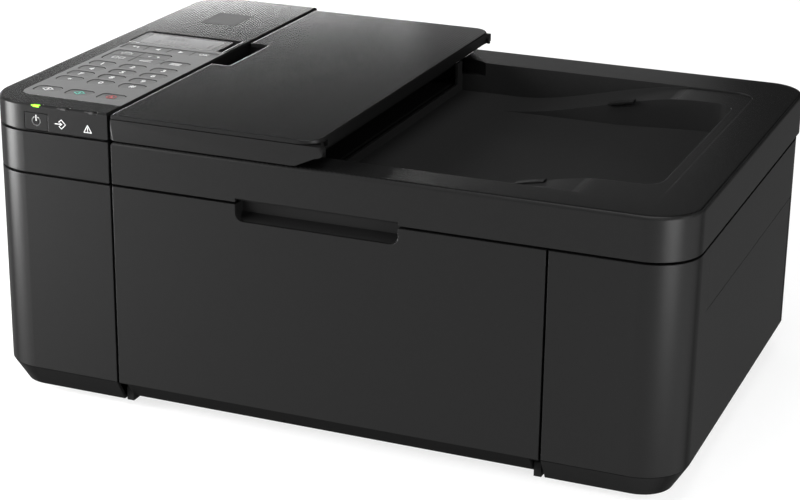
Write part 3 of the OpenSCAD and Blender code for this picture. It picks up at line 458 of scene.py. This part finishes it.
def sweep_y(pts, y0, y1):
    """Prism along Y of an outline in X and Z."""
    bm = bmesh.new()
    near = [bm.verts.new((x * MM, y0 * MM, z * MM)) for x, z in pts]
    far = [bm.verts.new((x * MM, y1 * MM, z * MM)) for x, z in pts]
    n = len(pts)
    for k in range(n):
        bm.faces.new((near[k], near[(k + 1) % n], far[(k + 1) % n], far[k]))
    bm.faces.new(near[::-1])
    bm.faces.new(far)
    return bm


def block(x0, x1, y0, y1, z0, z1):
    return sweep_y([(x0, z0), (x1, z0), (x1, z1), (x0, z1)], y0, y1)


def solid(name, bm):
    bmesh.ops.recalc_face_normals(bm, faces=bm.faces)
    me = bpy.data.meshes.new(name)
    bm.to_mesh(me)
    bm.free()
    return new_object(name, me)


def mesh_copy(me):
    bm = bmesh.new()
    bm.from_mesh(me)
    return bm


def discard(ob):
    me = ob.data
    bpy.data.objects.remove(ob)
    bpy.data.meshes.remove(me)


def combine(ob, bm, how="DIFFERENCE"):
    """Boolean with a tool shape, applied at once."""
    tool = solid("tool", bm)
    mod = ob.modifiers.new("combine", "BOOLEAN")
    mod.solver = "EXACT"
    mod.operation = how
    mod.object = tool
    bpy.context.view_layer.update()
    made = bpy.data.meshes.new_from_object(ob.evaluated_get(bpy.context.evaluated_depsgraph_get()))
    ob.modifiers.clear()
    old, ob.data = ob.data, made
    bpy.data.meshes.remove(old)
    discard(tool)


def dress(ob, mat, body, *nodes, slot="case_charcoal"):
    """Name, finish and body of a formed piece, and the CAD nodes that it stands for."""
    ob.data.name = ob.name
    ob.data.materials.clear()
    ob.data.materials.append(mat)
    ob.data.shade_smooth()
    ob.data.set_sharp_from_angle(angle=math.radians(32))
    normals = ob.modifiers.new("flat_faces", "WEIGHTED_NORMAL")
    normals.weight = 100
    normals.keep_sharp = True
    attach(ob, body)
    if nodes:
        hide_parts(*nodes)


# ---------------------------------------------------------------- document cover
WALL = 2.4                          # wall of the mouldings
LEFT = -130.2                       # left wall of the cover
FEEDER_BACK = 139.5                 # rear end of the feeder lid and the document tray
HANDLE = (-50.05, 50.95)            # handle pocket of the front door, in X
RECESS_LEFT = -9.0                  # where the output recess begins, beside the feeder
FLOOR_Z = 152.0                     # floor of the recess
LEDGE_Z = 171.8                     # side ledges where they meet the rim
CLIMB = (29.0, 153.0)               # where the side ledges climb, in X
OVER = RIM + 5                      # cuts that open upward end here


def ease(t):
    """Smooth step from 0 to 1."""
    t = min(1.0, max(0.0, t))
    return t * t * (3 - 2 * t)


def ledge(x):
    """Height of the side ledges."""
    return FLOOR_Z + (LEDGE_Z - FLOOR_Z) * ease((x - CLIMB[0]) / (CLIMB[1] - CLIMB[0]))


def channel_front(x):
    return -106 + 13 * ease((x - 70) / 95)


def channel_back(x):
    return 77 + 8 * ease((x - 105) / 60)


def recess_air():
    """Space of the recess, down to its side ledges."""
    steps = 24
    side = [(RECESS_LEFT, OVER), (RECESS_LEFT, FLOOR_Z)]
    for k in range(steps + 1):
        x = CLIMB[0] + (CLIMB[1] - CLIMB[0]) * k / steps
        side.append((x, ledge(x)))
    side += [(192.0, LEDGE_Z), (192.0, OVER)]
    air = solid("ledge_air", sweep_y(side, -124.5, 114.0))
    outline = rounded(-10.0, 191.0, -123.5, 113.0, (TIGHT, 17.0, 14.0, TIGHT))
    combine(air, prism(outline, 140.0, 190.0), "INTERSECT")
    bm = mesh_copy(air.data)
    discard(air)
    return bm


def channel_plan():
    """Outline of the deep channel between the side ledges."""
    end_x, end_r = 172, 12          # middle and radius of its right corners
    front, back = -80.9, 72.9
    plan = [(RECESS_LEFT, channel_front(RECESS_LEFT))]
    plan += [(x, channel_front(x)) for x in range(70, 171, 5)]
    plan += arc_points(end_x, front, end_r, range(-80, 1, 10))
    plan += arc_points(end_x, back, end_r, range(0, 81, 10))
    plan += [(x, channel_back(x)) for x in range(170, 104, -5)]
    plan += [(RECESS_LEFT, channel_back(RECESS_LEFT))]
    return plan


def document_cover():
    """Cover with a rounded rim, side ledges that climb to the right, and a channel between them."""
    box = (LEFT, HW, -HD, HD, (TIGHT, 28.0, 24.0, TIGHT))
    edge_r = 2.6
    levels = [(0.0, 146.8)]
    levels += [(edge_r - c, RIM - edge_r + s) for c, s in arc_points(0, 0, edge_r, range(0, 91, 18))]
    cover = solid("cover_shell", stack(box, levels))
    combine(cover, recess_air())
    combine(cover, prism(channel_plan(), FLOOR_Z, OVER))
    corner_cut = [(-12.0, 112.0), (8.0, 112.5), (3.5, 116.0), (-12.0, 121.6)]
    combine(cover, prism(corner_cut, 163.5, RIM + 1))
    well_right = -11.0              # right side of the well that holds the feeder
    for left, z0, z1 in ((LEFT - 1, 160, 180), (LEFT + WALL, 140, 175)):
        combine(cover, block(left, well_right, -HD + WALL, FEEDER_BACK - 1.2, z0, z1))
    document_exit = (-14.0, -8.0, -112, 104, 158, 180)
    combine(cover, block(*document_exit))
    combine(cover, stack(box, ((WALL, 146.0), (WALL, 149.3))))
    combine(cover, block(*HANDLE, -HD - 1, -HD + 9, 145.8, 149.0))
    for hinge_x in (-92.0, 156.0):
        combine(cover, block(hinge_x - 13, hinge_x + 13, 134, HD + 1, 140, 156.5))
    dress(cover, RIM_TOP, "cover", "lid_shell")


def paper_stop(name, y):
    """Low fin that follows the climb of the ledges, 17 mm long."""
    top_edge = [(x, ledge(x) + 1.2) for x in (104.0, 107.4, 110.8, 114.2, 117.6, 121.0)]
    low_edge = [(x, z - 1.6) for x, z in top_edge[::-1]]
    dress(solid(name, sweep_y(top_edge + low_edge, y, y + 5.2)), CASE, "cover")


document_cover()
paper_stop("cover_stop_front", channel_front(104) - 2.6)
paper_stop("cover_stop_back", channel_back(104) - 2.6)


# ---------------------------------------------------------------- feeder lid and document tray
def feeder_lid():
    """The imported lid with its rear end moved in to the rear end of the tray."""
    bm = mesh_copy(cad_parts["feeder_cover"].data)
    bmesh.ops.remove_doubles(bm, verts=bm.verts, dist=1e-6)
    lid = solid("feeder_lid_shell", bm)
    combine(lid, block(-200, 40, FEEDER_BACK - 0.1, HD + 5, 150, 200))
    end_wall = [(LEFT, 174.3), (LEFT + 2, 173.3), (-12.5, 173.3), (1.0, 181.0), (1.0, 186.0), (LEFT, 186.0)]
    combine(lid, sweep_y(end_wall, FEEDER_BACK - 5, FEEDER_BACK), "UNION")
    dress(lid, CASE, "feeder_lid", "feeder_cover")


def document_tray():
    """Ribbed plate with a finger notch, a turned-down right edge and hinge arms."""
    left, right, lip = -129.5, 1.3, 2.3
    levels = ((0.0, 186.5), (0.0, 188.3), (0.2, 188.7), (0.6, TOP))
    tray = solid("tray_plate", stack((left, right, -HD, FEEDER_BACK, (TIGHT, 12.0, 12.0, TIGHT)), levels))
    notch = rounded(-132.0, -116.0, -21.0, 37.0, (TIGHT, 4.0, 4.0, TIGHT))
    combine(tray, prism(notch, 180.0, 195.0))
    combine(tray, block(right - lip, right, -131.5, FEEDER_BACK - 9, 181.8, 188.0), "UNION")
    combine(tray, block(right - lip, right, -134.5, -131.4, 181.8, 183.0), "UNION")
    arm = [(-1.6, 186.8), (-0.6, 181.6), (3.0, 181.2), (1.1, 186.8)]
    for y in (-HD + 6.4, FEEDER_BACK - 9.4):
        combine(tray, sweep_y(arm, y, y + 3), "UNION")
    dress(tray, TRAY_TOP, "doc_tray", "document_tray")


feeder_lid()
document_tray()


# ---------------------------------------------------------------- bare plate on the control panel
def satin_plate():
    g = Graph("plate_satin", rough=0.4, spec=0.01)
    r = g.add(g.mul(g.noise(3.0), 0.08), 0.36)
    return g.finish(mottle(g, 0.040, 0.046), r, g.bump(g.noise(6.0), 0.000001))


plate_box = (-186.4, -160.6, 73.4, 105.0, (0.8,) * 4)
plate = solid("bare_plate", stack(plate_box, ((0.0, TOP - 0.4), (0.0, TOP + 0.02), (0.15, TOP + 0.1))))
dress(plate, satin_plate(), "base")


# ---------------------------------------------------------------- printed marks
def ink(name, colour, glow=0.0):
    g = Graph(name, rough=0.5)
    tone = g.noise(3.0, 2.0)
    dim = [v * 0.86 for v in colour[:3]] + [1.0]
    if glow:
        g.put(g.bsdf.inputs["Emission Color"], colour)
        g.bsdf.inputs["Emission Strength"].default_value = glow
    return g.finish(g.mix(tone, dim, colour), None, g.bump(tone, 0.00001, 0.4))


WHITE_INK = ink("ink_white", grey(0.88))
TEAL_INK = ink("ink_teal", (0.05, 0.55, 0.42, 1.0))
RED_INK = ink("ink_red", (0.75, 0.05, 0.05, 1.0))
DARK_INK = ink("ink_dark", (0.035, 0.036, 0.036, 1.0))
LIT = ink("lamp_green", (0.25, 0.85, 0.03, 1.0), 2.2)
UNLIT = ink("lamp_dark", grey(0.03))
LIFT = 0.02                          # printed marks stand this far off the face


def place_mesh(name, me, mat, body):
    """Small piece of one material that rides on a body."""
    me.materials.clear()
    me.materials.append(mat)
    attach(new_object(name, me), body)


class Mark:
    """Flat printed figure, built from strokes and filled outlines in millimetres, then laid on a face."""

    def __init__(self, thick=0.06):
        self.bm = bmesh.new()
        self.thick = thick

    def fill(self, points):
        lo = [self.bm.verts.new((x, y, 0)) for x, y in points]
        hi = [self.bm.verts.new((x, y, self.thick)) for x, y in points]
        self.bm.faces.new(hi)
        self.bm.faces.new(lo[::-1])
        n = len(points)
        for i in range(n):
            self.bm.faces.new((lo[i], lo[(i + 1) % n], hi[(i + 1) % n], hi[i]))

    def bar(self, x, y, w, h):
        """Filled upright rectangle from its lower left corner."""
        self.fill([(x, y), (x + w, y), (x + w, y + h), (x, y + h)])

    def stroke(self, a, b, w):
        a, b = Vector(a), Vector(b)
        d = (b - a).normalized() * (w / 2)
        n = Vector((-d.y, d.x))
        self.fill([a - d + n, a - d - n, b + d - n, b + d + n][::-1])

    def line(self, points, w, closed=False):
        pts = list(points) + ([points[0]] if closed else [])
        for a, b in zip(pts, pts[1:]):
            self.stroke(a, b, w)

    def sheet(self, x, y, w, h):
        """Outline of a sheet of paper."""
        self.line([(x, y), (x + w, y), (x + w, y + h), (x, y + h)], 0.4, closed=True)

    def arc(self, r, a0, a1, w, y=0.0, n=24):
        """Arc round (0, y), from a0 to a1 degrees."""
        self.line(arc_points(0.0, y, r, [a0 + (a1 - a0) * i / n for i in range(n + 1)]), w)

    def done(self, name, mat, body, place):
        bmesh.ops.recalc_face_normals(self.bm, faces=self.bm.faces[:])
        me = bpy.data.meshes.new(name)
        self.bm.to_mesh(me)
        self.bm.free()
        me.transform(place @ Matrix.Scale(MM, 4))
        place_mesh(name, me, mat, body)


def at(x, y, z):
    return Matrix.Translation((x * MM, y * MM, z * MM))


def on_key(node):
    """Place in the middle of a key's top."""
    lo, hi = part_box(node)
    return at((lo.x + hi.x) / 2 / MM, (lo.y + hi.y) / 2 / MM, hi.z / MM + LIFT)


def on_front(x, z, y):
    """Upright place on a front face."""
    return at(x, y, z) @ Matrix.Rotation(math.pi / 2, 4, "X")


def text_mark(name, node, string, size):
    """Number or word as a mesh on a key, from the built-in font."""
    cu = bpy.data.curves.new(name, "FONT")
    cu.body = string
    cu.size = size * MM
    cu.align_x = "CENTER"
    cu.align_y = "CENTER"
    cu.extrude = 0.03 * MM
    cu.resolution_u = 3
    draft = new_object(name + "_draft", cu)
    bpy.context.view_layer.update()
    me = bpy.data.meshes.new_from_object(draft)
    bpy.data.objects.remove(draft)
    xs = [v.co.x for v in me.vertices]
    ys = [v.co.y for v in me.vertices]
    me.transform(Matrix.Translation((-(min(xs) + max(xs)) / 2, -(min(ys) + max(ys)) / 2, 0)))
    me.transform(on_key(node))
    place_mesh(name, me, WHITE_INK, node + "_body")


for key, sign in zip("1 2 3 4 5 6 7 8 9 star 0 hash".split(), "123456789*0#"):
    text_mark("mark_key_" + key, "key_" + key, sign, 6.4)
text_mark("mark_ok", "ok_key", "OK", 4.6)


def start_sign(m):
    """Open diamond with a short bar in it."""
    m.line([(-3.6, 0), (0, 3.0), (3.6, 0), (0, -3.0)], 0.55, closed=True)
    m.stroke((0, -1.2), (0, 1.2), 0.9)


def stop_sign(m):
    m.arc(2.9, 0, 360, 0.55)
    m.fill([(-1.3, -1.2), (1.3, -1.2), (0, 1.5)])


def back_sign(m):
    m.line([(2.2, -1.4), (2.2, 1.3), (-0.8, 1.3)], 0.5)
    m.fill([(-2.6, 1.3), (-0.8, 2.5), (-0.8, 0.1)])


def left_sign(m, s=-1):
    m.fill([(1.8 * s, 0), (-1.3 * s, 1.9), (-1.3 * s, -1.9)])


def right_sign(m):
    left_sign(m, 1)


def copy_sign(m):
    m.sheet(-4.2, -1.8, 3.2, 3.8)
    m.sheet(0.6, -1.8, 3.2, 3.8)


def scan_sign(m):
    m.stroke((-4, -1.6), (4, -1.6), 0.5)
    m.stroke((-4, -0.4), (3.2, 2.0), 0.5)


def fax_sign(m):
    m.sheet(-3.8, -1.8, 7.4, 2.4)
    m.sheet(-2.2, 0.6, 4.2, 1.6)


def reply_sign(m):
    """Telephone handset."""
    m.arc(3.6, 30, 150, 0.7, y=-2.4, n=12)
    m.stroke((-3.2, -1.4), (-2.4, 0.2), 1.3)
    m.stroke((3.2, -1.4), (2.4, 0.2), 1.3)


def menu_sign(m):
    for y in (-1.7, 0, 1.7):
        m.stroke((-3.4, y), (3.4, y), 0.55)


def power_sign(m):
    m.arc(2.7, 120, 420, 0.55)
    m.stroke((0, 0.4), (0, 3.5), 0.55)


def data_sign(m):
    """Arrow into an open diamond."""
    m.line([(-0.6, 1.5), (1.0, 3.0), (3.8, 0.2), (1.0, -2.6), (-0.6, -1.1)], 0.42)
    m.stroke((-3.2, 0.2), (0.4, 0.2), 0.42)
    m.fill([(1.7, 0.2), (0.0, 1.2), (0.0, -0.8)])


def alarm_sign(m):
    m.line([(-2.5, -2.1), (2.5, -2.1), (0, 2.3)], 0.42, closed=True)
    m.stroke((0, -0.6), (0, 0.9), 0.45)
    m.stroke((0, -1.35), (0, -1.2), 0.45)


def sign_mark(name, mat, body, place, sign):
    m = Mark()
    sign(m)
    m.done(name, mat, body, place)


for node, mat, sign in (
        ("start_black_key", WHITE_INK, start_sign), ("start_colour_key", TEAL_INK, start_sign),
        ("stop_key", RED_INK, stop_sign), ("back_key", WHITE_INK, back_sign),
        ("left_key", WHITE_INK, left_sign), ("right_key", WHITE_INK, right_sign),
        ("copy_key", WHITE_INK, copy_sign), ("scan_key", WHITE_INK, scan_sign),
        ("fax_key", WHITE_INK, fax_sign), ("reply_key", WHITE_INK, reply_sign),
        ("menu_key", WHITE_INK, menu_sign)):
    sign_mark("mark_" + node, mat, node + "_body", on_key(node), sign)

lo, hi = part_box("power_key")
power_face = on_front((lo.x + hi.x) / 2 / MM, 179.0, lo.y / MM - LIFT)
sign_mark("mark_power", WHITE_INK, "power_button", power_face, power_sign)
sign_mark("mark_data", WHITE_INK, "base", on_front(-163.9, 178.8, -HD - LIFT), data_sign)
sign_mark("mark_alarm", WHITE_INK, "base", on_front(-145.3, 178.3, -HD - LIFT), alarm_sign)


# ---------------------------------------------------------------- lamp windows and display
def window(name, x, mat):
    """Small moulded window with rounded edges, in the panel's front edge."""
    size = Vector((5.8, 1.8, 1.4))
    middle = Vector((x, -146.4, 188.0))
    bm = bmesh.new()
    bmesh.ops.create_cube(bm, size=1.0)
    for v in bm.verts:
        v.co = (middle + v.co * size) * MM
    bmesh.ops.bevel(bm, geom=bm.edges[:], offset=0.25 * MM, segments=2, affect="EDGES")
    me = bpy.data.meshes.new(name)
    bm.to_mesh(me)
    bm.free()
    place_mesh(name, me, mat, "base")


for i, (x, mat) in enumerate(((-180.6, LIT), (-163.0, UNLIT), (-144.6, UNLIT))):
    window("lamp_%d" % i, x, mat)

LENS_TOP = TOP - 0.3
lens_box = (-207.6, -140.6, 8.6, 35.4, (1.0, 1.0, 3.0, 5.0))
lens = solid("display_lens", stack(lens_box, ((0.0, TOP - 1.5), (0.0, TOP - 0.5), (0.2, LENS_TOP))))
dress(lens, lcd_lens(), "base", slot="display")

segments = Mark(0.03)
for row, y, cells in ((0, 25.0, 6), (1, 15.0, 9)):
    for i in range(cells):
        x = -189.0 + i * 3.1
        segments.bar(x, y, 2.2, 1.0)
        if (i + row) % 3:
            segments.bar(x, y + 1.6, 0.8, 3.0)
for x in (-151.5, -148.6):
    segments.bar(x, 14.0, 1.2, 8.0)
segments.done("lcd_segments", DARK_INK, "base", at(0, 0, LENS_TOP + 0.01))


# ---------------------------------------------------------------- floor and world
def pale_floor(name, white, glow, bounce):
    """The camera, mirrors and glass see a white ground with a shadow. Other light meets a dim one."""
    mat = bpy.data.materials.new(name)
    mat.use_nodes = True
    t = mat.node_tree
    t.nodes.clear()

    def node(kind, *inputs):
        """Node whose inputs, in their order, are linked to another node's output or set to a value."""
        n = t.nodes.new("ShaderNode" + kind)
        for socket, value in zip(n.inputs, inputs):
            if isinstance(value, bpy.types.NodeSocket):
                t.links.new(value, socket)
            else:
                socket.default_value = value
        return n

    def most(a, b):
        n = node("Math", a, b)
        n.operation = "MAXIMUM"
        return n.outputs[0]

    rays = t.nodes.new("ShaderNodeLightPath").outputs
    seen = most(most(rays["Is Camera Ray"], rays["Is Glossy Ray"]), rays["Is Transmission Ray"])
    pale = node("BsdfDiffuse", grey(white))
    light = node("Emission", grey(1.0), glow)
    both = node("AddShader", pale.outputs[0], light.outputs[0])
    dim = node("BsdfDiffuse", grey(bounce))
    mix = node("MixShader", seen, dim.outputs[0], both.outputs[0])
    node("OutputMaterial", mix.outputs[0])
    return mat


bm = bmesh.new()
bmesh.ops.create_grid(bm, x_segments=1, y_segments=1, size=8.0)
me = bpy.data.meshes.new("floor")
bm.to_mesh(me)
bm.free()
me.materials.append(pale_floor("floor_pale", 0.30, 0.76, 0.25))
new_object("floor", me)

world = bpy.data.worlds.new("studio")
bpy.context.scene.world = world
world.use_nodes = True
sky = world.node_tree.nodes["Background"]
sky.inputs["Color"].default_value = grey(1.0)
sky.inputs["Strength"].default_value = 0.03


# ---------------------------------------------------------------- lamps and camera
def direction(azimuth, elevation):
    """Unit vector toward a lamp or the camera. Azimuth 0 is in front and 90 on the right."""
    a, e = math.radians(azimuth), math.radians(elevation)
    return Vector((math.sin(a) * math.cos(e), -math.cos(a) * math.cos(e), math.sin(e)))


def lamp(name, azimuth, elevation, distance, width, height, power, target=(0, 0, 0.12)):
    """Soft rectangular lamp. Lengths in metres, power in watts."""
    away = direction(azimuth, elevation)
    li = bpy.data.lights.new(name, "AREA")
    li.energy = power
    li.shape = "RECTANGLE"
    li.size, li.size_y = width, height
    ob = new_object(name, li)
    ob.location = Vector(target) + away * distance
    ob.rotation_mode = "QUATERNION"
    ob.rotation_quaternion = (-away).to_track_quat("-Z", "Y")
    return ob


lamp("left_soft", -55, 22, 1.3, 0.8, 0.7, 20)
lamp("front_soft", 25, 35, 2.2, 1.2, 1.0, 6)
lamp("right_soft", 85, 25, 2.0, 0.5, 0.6, 8)
lamp("top_soft", 20, 78, 2.0, 1.3, 1.3, 24)
lamp("back_key", 223.5, 4.9, 1.38, 1.1, 0.4, 16.5)
lamp("back_low", 195, 9, 2.0, 0.5, 0.45, 0.35)
# two close lamps draw the highlights down the front corners
for edge_lamp in (lamp("right_edge", 56, 0, 0.45, 0.24, 0.24, 2.6, (0.19, -0.12, 0.12)),
                  lamp("left_edge", -72, 0, 0.45, 0.30, 0.24, 7.5, (-0.19, -0.12, 0.12))):
    edge_lamp.visible_camera = False

# camera: azimuth, elevation and roll in degrees, distance and the point it looks at in metres, lens in mm
AZ, EL, ROLL, DIST = 21.98, 20.0, 0.76, 1.323
LOOK_AT = Vector((-0.0072, 0, 0.0749))
LENS = 93.105
back = direction(AZ, EL)
right = Vector((math.cos(math.radians(AZ)), math.sin(math.radians(AZ)), 0.0))
up = back.cross(right)
roll = math.radians(ROLL)
right, up = (right * math.cos(roll) + up * math.sin(roll), up * math.cos(roll) - right * math.sin(roll))
cam = bpy.data.cameras.new("camera")
cam.sensor_width = 36.0
cam.lens = LENS
cam.clip_start, cam.clip_end = 0.05, 50.0
co = new_object("camera", cam)
turn = Matrix((right, up, back)).transposed().to_4x4()
co.matrix_world = Matrix.Translation(LOOK_AT + back * DIST) @ turn
bpy.context.scene.camera = co
bpy.context.scene.view_settings.view_transform = "Standard"
